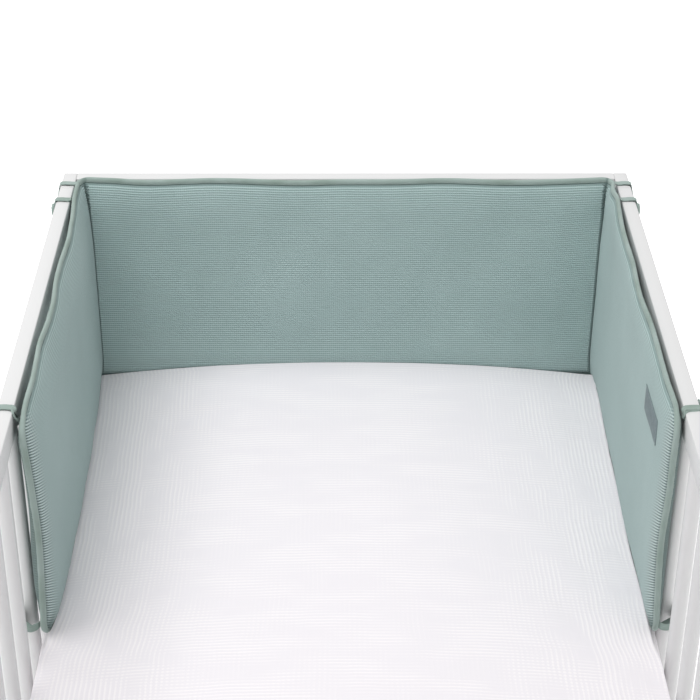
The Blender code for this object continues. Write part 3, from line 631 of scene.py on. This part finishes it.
def buildTacks():  # a short row of tacking stitches holds each fold shut under the binding; their dark colour is painted shade of the slit at the fold's top
    bm = bmesh.new()
    reach = binding["tackReach"]
    for fold in folds:
        for i in range(binding["tacks"]):
            v = strip["height"] - 0.010 - i * binding["tackPitch"]
            slant = binding["tackSlants"][i % 2]
            ends = []
            for s, at in ((fold - reach, v - slant), (fold + reach, v + slant)):
                ends.append(middle(s, at) + inwardNormal(s, at) * (halfThickness(s, at, 1) + 0.1 * mm))
            addStitch(bm, *ends, inwardNormal(fold, v), binding["tackThick"])
    finishPiece("foldTacks", bm, tackThread, "binding_cotton", 50)


buildBinding()
buildStitches()
buildTacks()

print("label")
label = {
    "size": (0.083, 0.033), "place": (0.108, -0.063), "turn": 3.5, "thick": 0.8 * mm, "lift": 0.2 * mm,
    "hem": 1.6 * mm, "edge": 0.9 * mm, "bulge": 0.30 * mm, "stitchPitch": 2.6 * mm,
    "stitchThick": 0.42 * mm,
}


def labelPoint(x, y, lift):  # x and y on the label, in metres from its middle
    centre = Vector((stripLength - label["place"][0], label["place"][1] - strip["bottom"]))
    s, v = centre + Matrix.Rotation(radians(label["turn"]), 2) @ Vector((x, y))
    return middle(s, v) + inwardNormal(s, v) * (halfThickness(s, v, 1) + lift)


def buildLabel():
    width, height = label["size"]
    bm = bmesh.new()
    gridCells(bm, 44, 20)
    raised = addLayer(bm)
    flat = {vert: (vert.co.x * width, vert.co.y * height) for vert in bm.verts}
    writeUvs(bm, flat)
    for vert, (x, y) in flat.items():
        inset = min(width / 2 - abs(x), height / 2 - abs(y))
        sewn = 0.45 * fade(inset - label["hem"], label["edge"])  # drawn down along the stitches
        bulge = label["bulge"] * noise(Vector((x * 90, y * 90, 1))) * ease(inset, 0, 0.004)
        top = label["thick"] * (1 - sewn) * (0.55 + 0.45 * ease(inset, 0, label["edge"])) + bulge
        vert.co = labelPoint(x, y, label["lift"] + (top if vert in raised else 0))
    finishPiece("bumperLabel", bm, labelWeave, "label_fabric", 60, "bumper_label")


def buildLabelStitches():
    bm = bmesh.new()
    halfWide, halfHigh = (size / 2 - label["hem"] for size in label["size"])
    corners = [Vector((x * halfWide, y * halfHigh)) for x, y in ((-1, -1), (1, -1), (1, 1), (-1, 1))]
    for start, stop in zip(corners, corners[1:] + corners[:1]):
        count = round((stop - start).length / label["stitchPitch"])
        for i in range(count):
            ends = [start.lerp(stop, (i + share) / count) for share in (0.12, 0.85)]
            points = [labelPoint(end.x, end.y, label["lift"] + label["thick"] * 0.68) for end in ends]
            addStitch(bm, *points, Vector((-1, 0, 0)), label["stitchThick"])
    finishPiece("labelStitches", bm, sewingThread, "binding_cotton", 50)


buildLabel()
buildLabelStitches()

print("straps")
strapSizes = {
    "step": 1.6 * mm, "rootHalf": 3 * mm, "rootThick": 0.7 * mm, "snug": 0.5, "crush": 0.10,
    "crushLong": 6 * mm, "knotHalf": 1.9 * mm, "wrapHalf": 2.9 * mm, "wrapThick": 0.8 * mm,
    "wrapSlant": 1.6 * mm, "wrapSides": 28,
}
flatBand = (0, 4.75, 0.7)
# mm: sewn place, then points: out from the rail's inner face, along from the head's outer face, up from
# the rails' top; where not flatBand, turn of the width to upright (degrees), half width, half thickness
headStrap = ((560, 306), [
    (2, -35.5, 2.9), (6, -34.5, 2.9), (13, -34, 2.9), (18.5, -34.5, 1.8), (20.8, -36, -2.5, 15),
    (21.2, -43, -8, 50), (21.2, -57, -11, 85), (21.6, -68, -11.5, 90), (24, -76, -12.5, 80, 4.8, 3.4),
    (25.3, -79, -17, 40, 4.2, 3.6), (22.5, -79, -23, 10, 4, 0.9), (20.6, -77, -34),
    (20.8, -74, -48, 0, 4.4, 0.7)])
sideStrap = ((518, 306), [
    (1, -82, 2.7), (5, -82, 2.9), (13, -81, 2.9), (18.5, -82, 1.8), (21.5, -84, -2),
    (25, -87, -6.5, 0, 4.6, 3.2), (25.8, -88.3, -12, 0, 4.8, 3.8), (24, -88.5, -18, 0, 4.2, 2.6),
    (21, -90, -25, 0, 4.4, 0.8), (20.6, -93, -36), (21.2, -95, -44, 0, 4.4, 0.7)])
nearStrap = ((24, 299), [
    (-1.4, -571, -3, 0, 3.6, 0.7), (-1, -567.5, 1.2, 0, 4.2, 0.7), (1.8, -564.5, 3.3), (5, -563.5, 3),
    (13, -563, 2.9), (18.5, -563, 1.8), (21.2, -563, -2.5), (23.8, -564, -9, 0, 4.6, 3),
    (25.3, -565, -15, 0, 4.8, 3.8), (23.5, -566, -21, 0, 4.2, 2.4), (20.9, -568, -27, 0, 4.4, 0.8),
    (20.6, -571, -38), (21.4, -573, -46, 0, 4.4, 0.7)])
underStrap = ((55, 271), [
    (2.5, -545, -34.8), (9, -544, -34.8), (17.5, -544, -34.4), (21, -545, -31),
    (22, -548, -24, 0, 4.6, 1.4), (24.6, -552.5, -18, 0, 4.6, 3.4), (25.6, -553.5, -12.5, 0, 4.6, 3.6),
    (24, -553, -7.5, 0, 4.2, 1.8), (27.5, -551, -7.5, 0, 4.2, 0.9), (29, -550.5, -15, 0, 4.4, 0.7),
    (28.6, -550, -26, 0, 4.2, 0.7)])
lowStrap = ((9, 23), [
    (-3, -597, -283.5, 90), (4, -600, -284, 90), (12, -596, -284, 90), (18.5, -586, -284, 90),
    (21.3, -575, -284, 90, 4.75, 1.2), (24.2, -568.5, -285, 80, 4.8, 3.2), (25, -566.5, -290, 30, 4.4, 3.2),
    (22.8, -567, -297, 0, 4.2, 0.9), (21.6, -569, -308), (22.2, -570, -318, 0, 4.4, 0.7)])
backStrap = ((58, 23), [
    (3, -542, -284, 90), (11, -543.5, -284, 90), (17.5, -548, -284, 90), (21.6, -553, -284, 90, 4.75, 2),
    (24.6, -556.2, -285, 80, 4.6, 3.2), (25, -556.4, -291, 30, 4.2, 3), (23, -555, -298, 0, 4.2, 0.9),
    (21.8, -553, -308), (22.6, -551, -316, 0, 4.4, 0.7)])
nearShift = {-1: -9.5, 1: -12.5}  # mm; the right one lies further from the head end
straps = {"head": headStrap, "side": sideStrap, "near": nearStrap, "under": underStrap,
          "low": lowStrap, "back": backStrap}
# across and through, as shares of the half sizes: a folded tape with a bead down each edge
halfRing = [(-1, 0), (-0.98, 0.6), (-0.9, 0.95), (-0.72, 0.82), (0, 0.8), (0.72, 0.82), (0.9, 0.95),
            (0.98, 0.6)]
strapRing = halfRing + [(-across, -up) for across, up in halfRing]
wrapBand = [(-1, 0), (-0.92, 0.8), (-0.6, 1), (0, 0.9), (0.6, 1), (0.92, 0.8), (1, 0), (0, -0.2), (-1, 0)]


def snug(out, up):  # the CAD keeps straps a little off the wood; here they lie on it
    share, face = strapSizes["snug"], wood / mm
    if out > face:
        out = face + (out - face) * share
    if 0 < up < 4:
        up *= share
    elif -36 < up < -32:  # under the rail
        up = -32 + (up + 32) * share
    return out * mm, up * mm


def strapTable(kind, side):
    sewn, rows = straps[kind]
    rows = [(*row, *flatBand[len(row) - 3:]) for row in rows]
    s = sewn[0] * mm if side < 0 else stripLength - sewn[0] * mm
    v = sewn[1] * mm
    lift = max(strip["bindingHalf"], outerHalf(s, v)) + 1.5 * mm
    start = middle(s, v) - inwardNormal(s, v) * lift
    points = [(start.x * side, start.y, start.z, strapSizes["rootHalf"], strapSizes["rootThick"],
               rows[0][3])]
    shift = nearShift[side] if kind == "near" else 0
    for out, along, up, turn, wide, thick in rows:
        out, up = snug(out, up)
        points.append((innerWidth / 2 + out, outerLength / 2 + (along + shift) * mm, railTop + up,
                       wide * mm, min(thick * mm, strapSizes["knotHalf"]), turn))
    table, travelled = [], 0.0
    for point, last in zip(points, points[:1] + points):
        travelled += (Vector(point[:3]) - Vector(last[:3])).length
        table.append((travelled, *point))
    return table


def strapFrame(table, at):
    x, y, z, wide, thick, turn = smoothRead(table, at)
    ahead, behind = (Vector(smoothRead(table, min(max(at + d, 0), table[-1][0]))[:3]) for d in (mm, -mm))
    along = (ahead - behind).normalized()
    width = Vector((0, cos(radians(turn)), sin(radians(turn))))
    width = (width - along * width.dot(along)).normalized()
    return Vector((x, y, z)), along, width, along.cross(width), wide, thick


def buildStrap(kind, side):
    table = strapTable(kind, side)
    length = table[-1][0]
    columns, rows = round(length / strapSizes["step"]), len(strapRing)
    bm = bmesh.new()
    flat = {}
    for vert, i, j in gridCells(bm, columns, rows):
        at = length * i / columns
        place, along, width, through, wide, thick = strapFrame(table, at)
        across, up = strapRing[j % rows]
        spot = Vector((at / strapSizes["crushLong"], j * 0.8, side + len(kind)))
        crush = 1 + strapSizes["crush"] * noise(spot)
        flat[vert] = (at, j / rows * 4 * wide)
        vert.co = place + width * (across * wide * crush) + through * (up * thick * crush)
        vert.co.x *= side
    writeUvs(bm, flat)
    bmesh.ops.remove_doubles(bm, verts=bm.verts, dist=1e-6)
    bmesh.ops.holes_fill(bm, edges=[edge for edge in bm.edges if edge.is_boundary], sides=0)
    name = "left" if side < 0 else "right"
    finishPiece(f"{name}{kind.capitalize()}Strap", bm, biasTape, "binding_cotton", 60,
                f"strap_{kind}_{name}")


def buildKnots():  # the turn of tape round each knot, where a strap is thickest
    bm = bmesh.new()
    sides, rows = strapSizes["wrapSides"], len(wrapBand) - 1
    flat = {}
    for kind in straps:
        for side in (-1, 1):
            table = strapTable(kind, side)
            at = max(table, key=lambda row: row[5])[0]
            place, along, width, through, wide, thick = strapFrame(table, at)
            for vert, i, j in gridCells(bm, sides, rows):
                angle = 2 * pi * i / sides
                band, lift = wrapBand[j]
                out = width * (cos(angle) * (wide + lift * strapSizes["wrapThick"]))
                out += through * (sin(angle) * (thick + lift * strapSizes["wrapThick"]))
                slant = strapSizes["wrapSlant"] * cos(angle)
                flat[vert] = (angle * wide, j * 1.2 * mm)
                vert.co = place + out + along * (band * strapSizes["wrapHalf"] + slant)
                vert.co.x *= side
    writeUvs(bm, flat)
    bmesh.ops.remove_doubles(bm, verts=bm.verts, dist=1e-6)
    finishPiece("strapKnots", bm, biasTape, "binding_cotton", 60)


for strapKind in straps:
    for strapSide in (-1, 1):
        buildStrap(strapKind, strapSide)
buildKnots()

print("mattress")
mattress = {  # metres; heights up from the rails' top
    "crown": -0.274, "brim": -0.2965, "crownPower": 2.2, "halfWidth": {-1: 0.3550, 1: 0.3585},
    "halfLength": 0.712, "halfSheet": 0.340, "core": 0.050, "reach": 0.130, "step": 6 * mm,
    "corner": 0.028, "heldCorner": 0.003, "foldFill": 2.4 * mm, "edgeRoll": 0.004,
    "bumperClear": 0.0004, "touch": 0.011, "padThere": 0.0031, "wrinkle": 0.9 * mm,
}
# distance past the top's rim (mm), inset (mm), how much the bumper's press counts, height (mm: a fall
# from the crowned top on the top, under the rails' top on the side)
mattressTopRows = [
    (-50, 50, 1, 0), (-40, 40, 1, 0), (-9, 9, 1, 0), (-3.5, 3.2, 1, 0.3), (-1, 0.6, 1, 1), (2, 0, 1, 6)]
mattressSide = [
    (2, 0, 1, 302.5), (10, 0.3, 1, 310.5), (13, 2, 0.9, 311.8), (20, 2.5, 0.35, 312),
    (26, 1.2, 0.04, 313.5), (32, 0, 0, 320), (46, 0, 0, 336), (66, 0, 0, 356), (80, 0, 0, 371),
    (88, 1.5, 0, 379), (96, 6, 0, 384), (106, 16, 0, 385), (130, 40, 0, 385)]


def halfWidthAt(side, y, press):
    along = min(max(y - strip["end"], 0), sideRun)
    lower = middle(along if side < 0 else stripLength - along, mattress["touch"])
    held = abs(lower.x) - mattress["padThere"] - mattress["bumperClear"]
    full = mattress["halfWidth"][side]
    covered = ease(y, strip["end"] - 0.050, strip["end"] - 0.004)
    return full + press * ((held - full) * covered - mattress["edgeRoll"] * (1 - covered))


def mattressTop(x):
    share = min(abs(x) / (strip["sidePlane"] - strip["padHalf"]), 1)
    return mattress["crown"] + (mattress["brim"] - mattress["crown"]) * share ** mattress["crownPower"]


def mattressPoint(a, b):  # a and b: across and along on the flat sheet, before it goes over the edges
    core, full, half = mattress["core"], mattress["halfLength"], mattress["halfSheet"]
    coreA, coreB = half - core, full - core
    sideX, sideY = (1 if a > 0 else -1), (1 if b > 0 else -1)
    under = mattressTop(min(abs(a), half)) + 1.5 * mm - strip["bottom"]  # where it meets the head panel
    heldEnd = strip["headPlane"] - halfThickness(stripLength / 2, under) - mattress["bumperClear"]
    past = Vector((max(abs(a) - coreA, 0), max(abs(b) - coreB, 0)))
    reach = max(past.x, past.y)
    t = (reach - core) / mm
    inset, press, fall = smoothRead(mattressTopRows if t <= 2 else mattressSide, t)
    y = sideY * min(abs(b), coreB) * ((heldEnd if sideY > 0 else full) - core) / coreB
    start = Vector((min(abs(a), coreA) * (halfWidthAt(sideX, y, 1) - core) / coreA, abs(y)))
    if reach <= 0:
        return Vector((sideX * start.x, y, railTop + mattressTop(start.x)))
    headPress = press if sideY > 0 else 0
    ahead = past / reach
    wide = halfWidthAt(sideX, y, press) - inset * mm
    long = full + headPress * (heldEnd - full) - inset * mm
    radius = mattress["corner"] - headPress * (mattress["corner"] - mattress["heldCorner"])
    far = min((edge - here) / step if step > 1e-9 else 9
              for edge, here, step in zip((wide, long), start, ahead))
    hit = start + ahead * far
    centre = Vector((wide - radius, long - radius))
    if hit.x > centre.x and hit.y > centre.y:  # round the corner
        away = start - centre
        back = away.dot(ahead) / ahead.length_squared
        rest = (away.length_squared - radius ** 2) / ahead.length_squared
        hit = start + ahead * (sqrt(max(back ** 2 - rest, 0)) - back)
    # the pad is pinched thin at its folds
    hit.x += mattress["foldFill"] * headPress * ease(hit.y, 0.662, 0.676) * ease(t, -14, -4)
    up = (mattressTop(hit.x) if t <= 2 else 0) - fall * mm
    return Vector((sideX * hit.x, sideY * hit.y, railTop + up))


def wrinkle(a, b):  # the sheet's soft waves: pulled lines at the sides, cross folds at the head
    tight = ease(abs(a), 0.12, 0.32)
    spot = Vector((a * 26 + b * 5 * (1 if a > 0 else -1), b * 6, 0))
    pulled = noise(spot) * (0.25 + 0.75 * tight)
    cross = noise(Vector((a * 9, b * 42, 3.0))) * ease(b, 0.35, 0.65) * 0.5
    return mattress["wrinkle"] * (pulled + cross) * (1 - 0.6 * ease(b, 0.60, 0.62))


def buildMattress():
    halfA, halfB = (mattress[name] + mattress["reach"] for name in ("halfSheet", "halfLength"))
    columns, rows = (round(2 * half / mattress["step"]) for half in (halfA, halfB))
    bm = bmesh.new()
    gridCells(bm, columns, rows)
    flat = {vert: (vert.co.x * 2 * halfA, vert.co.y * 2 * halfB) for vert in bm.verts}
    writeUvs(bm, flat)
    for vert, (a, b) in flat.items():
        vert.co = mattressPoint(a, b)
    bm.normal_update()
    if sum(face.normal.z for face in bm.faces) < 0:
        bmesh.ops.reverse_faces(bm, faces=bm.faces)
        bm.normal_update()
    for vert, (a, b) in flat.items():
        vert.co += vert.normal * wrinkle(a, b)
    bmesh.ops.holes_fill(bm, edges=[edge for edge in bm.edges if edge.is_boundary], sides=0)
    return finishPiece("mattressInMuslin", bm, muslin, "muslin", 60, "mattress")


mattressPiece = buildMattress()

print("crib")
crib = {
    "rail": 0.032, "lowRailTop": 0.200, "lowRail": 0.040, "post": 0.045, "bar": 0.016, "barWide": 0.021,
    "barSides": 32, "barSquare": 0.80, "barPitch": 0.070, "bars": 20, "endBarPitch": 0.072, "endBars": 9,
    "round": 1.6 * mm, "sunk": 1.5 * mm, "gap": 0.3 * mm, "bedding": -0.385,  # from the rails' top
    "slats": 10, "slat": (0.060, 0.012), "batten": (0.029, 0.030), "housing": 0.5 * mm,
}


def addBox(bm, low, high, joints=()):  # joints: (axis, place) of end faces that stay sharp
    low, high = Vector(low), Vector(high)
    made = bmesh.ops.create_cube(bm, size=1, matrix=Matrix.LocRotScale((low + high) / 2, None, high - low))
    edges = {edge for vert in made["verts"] for edge in vert.link_edges}
    for axis, place in joints:
        edges = {edge for edge in edges if any(abs(vert.co[axis] - place) > 1e-5 for vert in edge.verts)}
    bmesh.ops.bevel(bm, geom=list(edges), offset=crib["round"], segments=3, profile=0.5, affect="EDGES",
                    material=-1)


def addBar(bm, middlePlace, size):  # an oval bar, a little wider along its rail
    made = bmesh.ops.create_cone(bm, cap_ends=True, segments=crib["barSides"], radius1=1, radius2=1,
                                 depth=1)
    for vert in made["verts"]:  # its faces are nearly flat
        x, y = (copysign(abs(part) ** crib["barSquare"], part) for part in vert.co.xy)
        vert.co = Vector(middlePlace) + Vector((x * size[0], y * size[1], vert.co.z * size[2]))


def buildFrame(name, node, axis, plane, run, bars, pitch):  # two rails along one axis, and the bars between
    def spot(along, through, up):
        return (along, through, up) if axis == 0 else (through, along, up)

    bm = bmesh.new()
    for top, deep in ((railTop, crib["rail"]), (crib["lowRailTop"], crib["lowRail"])):
        addBox(bm, spot(-run, plane - wood / 2, top - deep), spot(run, plane + wood / 2, top),
               ((axis, -run), (axis, run)))
    low, high = crib["lowRailTop"] - crib["sunk"], railTop - crib["rail"] + crib["sunk"]
    size = spot(crib["barWide"] / 2, crib["bar"] / 2, high - low)
    for i in range(bars):
        addBar(bm, spot((i - (bars - 1) / 2) * pitch, plane, (low + high) / 2), size)
    finishPiece(name, bm, satinPaint, "painted_wood", 35, node)


def buildPost(side, end):
    bm = bmesh.new()
    xs = sorted((side * innerWidth / 2, side * (innerWidth / 2 + wood)))
    joint = end * (outerLength / 2 - crib["post"])
    ys = sorted((joint, end * outerLength / 2))
    addBox(bm, (xs[0], ys[0], 0), (xs[1], ys[1], railTop), ((1, joint),))
    names = ("head" if end > 0 else "foot", "left" if side < 0 else "right")
    finishPiece(f"{names[0]}{names[1].capitalize()}Post", bm, satinPaint, "painted_wood", 35,
                f"post_{names[0]}_{names[1]}")


def buildBase():
    bm = bmesh.new()
    top = railTop + crib["bedding"] - crib["gap"]
    halfWide, halfLong = innerWidth / 2 - crib["gap"], outerLength / 2 - wood - crib["gap"]
    low = top - crib["slat"][1]
    for side in (-1, 1):
        xs = sorted((side * halfWide, side * (halfWide - crib["batten"][0])))
        addBox(bm, (xs[0], -halfLong, low - crib["batten"][1]), (xs[1], halfLong, low + crib["housing"]))
    for i in range(crib["slats"]):
        y = -halfLong + (2 * halfLong - crib["slat"][0]) * i / (crib["slats"] - 1)
        addBox(bm, (-halfWide, y, low), (halfWide, y + crib["slat"][0], top))
    finishPiece("slattedBase", bm, satinPaint, "painted_wood", 35, "slatted_base")


for cribSide in (-1, 1):
    sideName, endName = ("left", "foot") if cribSide < 0 else ("right", "head")
    buildFrame(f"{sideName}SideFrame", f"side_frame_{sideName}", 1, cribSide * (innerWidth + wood) / 2,
               outerLength / 2 - crib["post"] - crib["gap"], crib["bars"], crib["barPitch"])
    buildFrame(f"{endName}EndFrame", f"end_frame_{endName}", 0, cribSide * (outerLength - wood) / 2,
               innerWidth / 2 - crib["gap"], crib["endBars"], crib["endBarPitch"])
    for cribEnd in (-1, 1):
        buildPost(cribSide, cribEnd)
buildBase()

print("studio")
studio = {
    "camera": (-0.0169, -1.4509, 1.9274), "yaw": 0.62, "pitch": 31.65, "roll": -0.26,
    "lens": 1800 * 36 / 700,  # 1800 pixels in a frame 700 wide
    "world": 0.72, "floorGlow": 0.5,
    "lights": {  # place, aim, size, watts, spread
        "overheadSoftbox": ((-0.9, 0.32, 3.2), (0.15, 0.64, 0.6), (1.8, 1.8), 14.2, 100),
        "frontSoftbox": ((-0.5, -3.0, 1.75), (0, 0.6, 0.75), (2.0, 1.2), 10, 180),
    },
}


def setCamera():
    yaw, pitch, roll = (radians(studio[name]) for name in ("yaw", "pitch", "roll"))
    forward = Vector((sin(yaw) * cos(pitch), cos(yaw) * cos(pitch), -sin(pitch)))
    level = Vector((cos(yaw), -sin(yaw), 0))
    down = forward.cross(level)
    right = cos(roll) * level + sin(roll) * down
    down = -sin(roll) * level + cos(roll) * down
    data = bpy.data.cameras.new("camera")
    data.sensor_width, data.lens = 36, studio["lens"]
    camera = addObject("camera", data)
    turn = Matrix((right, -down, -forward)).transposed().to_4x4()
    camera.matrix_world = Matrix.Translation(studio["camera"]) @ turn
    bpy.context.scene.camera = camera


def addLight(name, place, aim, size, power, spread):
    data = bpy.data.lights.new(name, "AREA")
    data.shape, data.size, data.size_y, data.energy = "RECTANGLE", size[0], size[1], power
    data.spread = radians(spread)
    turn = (Vector(aim) - Vector(place)).to_track_quat("-Z", "Y")
    addObject(name, data).matrix_world = Matrix.LocRotScale(Vector(place), turn, None)


def buildFloor():
    bm = bmesh.new()
    bmesh.ops.create_grid(bm, x_segments=1, y_segments=1, size=12)
    paper = startMaterial("whiteStudioPaper", palette["floor"], 0.9, Emission_Color=(1, 1, 1, 1),
                          Emission_Strength=studio["floorGlow"])[0]
    addMesh("studioFloor", bm, paper)


world = bpy.data.worlds.new("studioWorld")
world.use_nodes = True
sky = world.node_tree.nodes["Background"]
sky.inputs["Color"].default_value, sky.inputs["Strength"].default_value = (1, 1, 1, 1), studio["world"]
bpy.context.scene.world = world
setCamera()
buildFloor()
for lightName, lightValues in studio["lights"].items():
    addLight(lightName, *lightValues)
bpy.context.scene.view_settings.view_transform = "Standard"  # a white product picture, without a film curve

print("done")
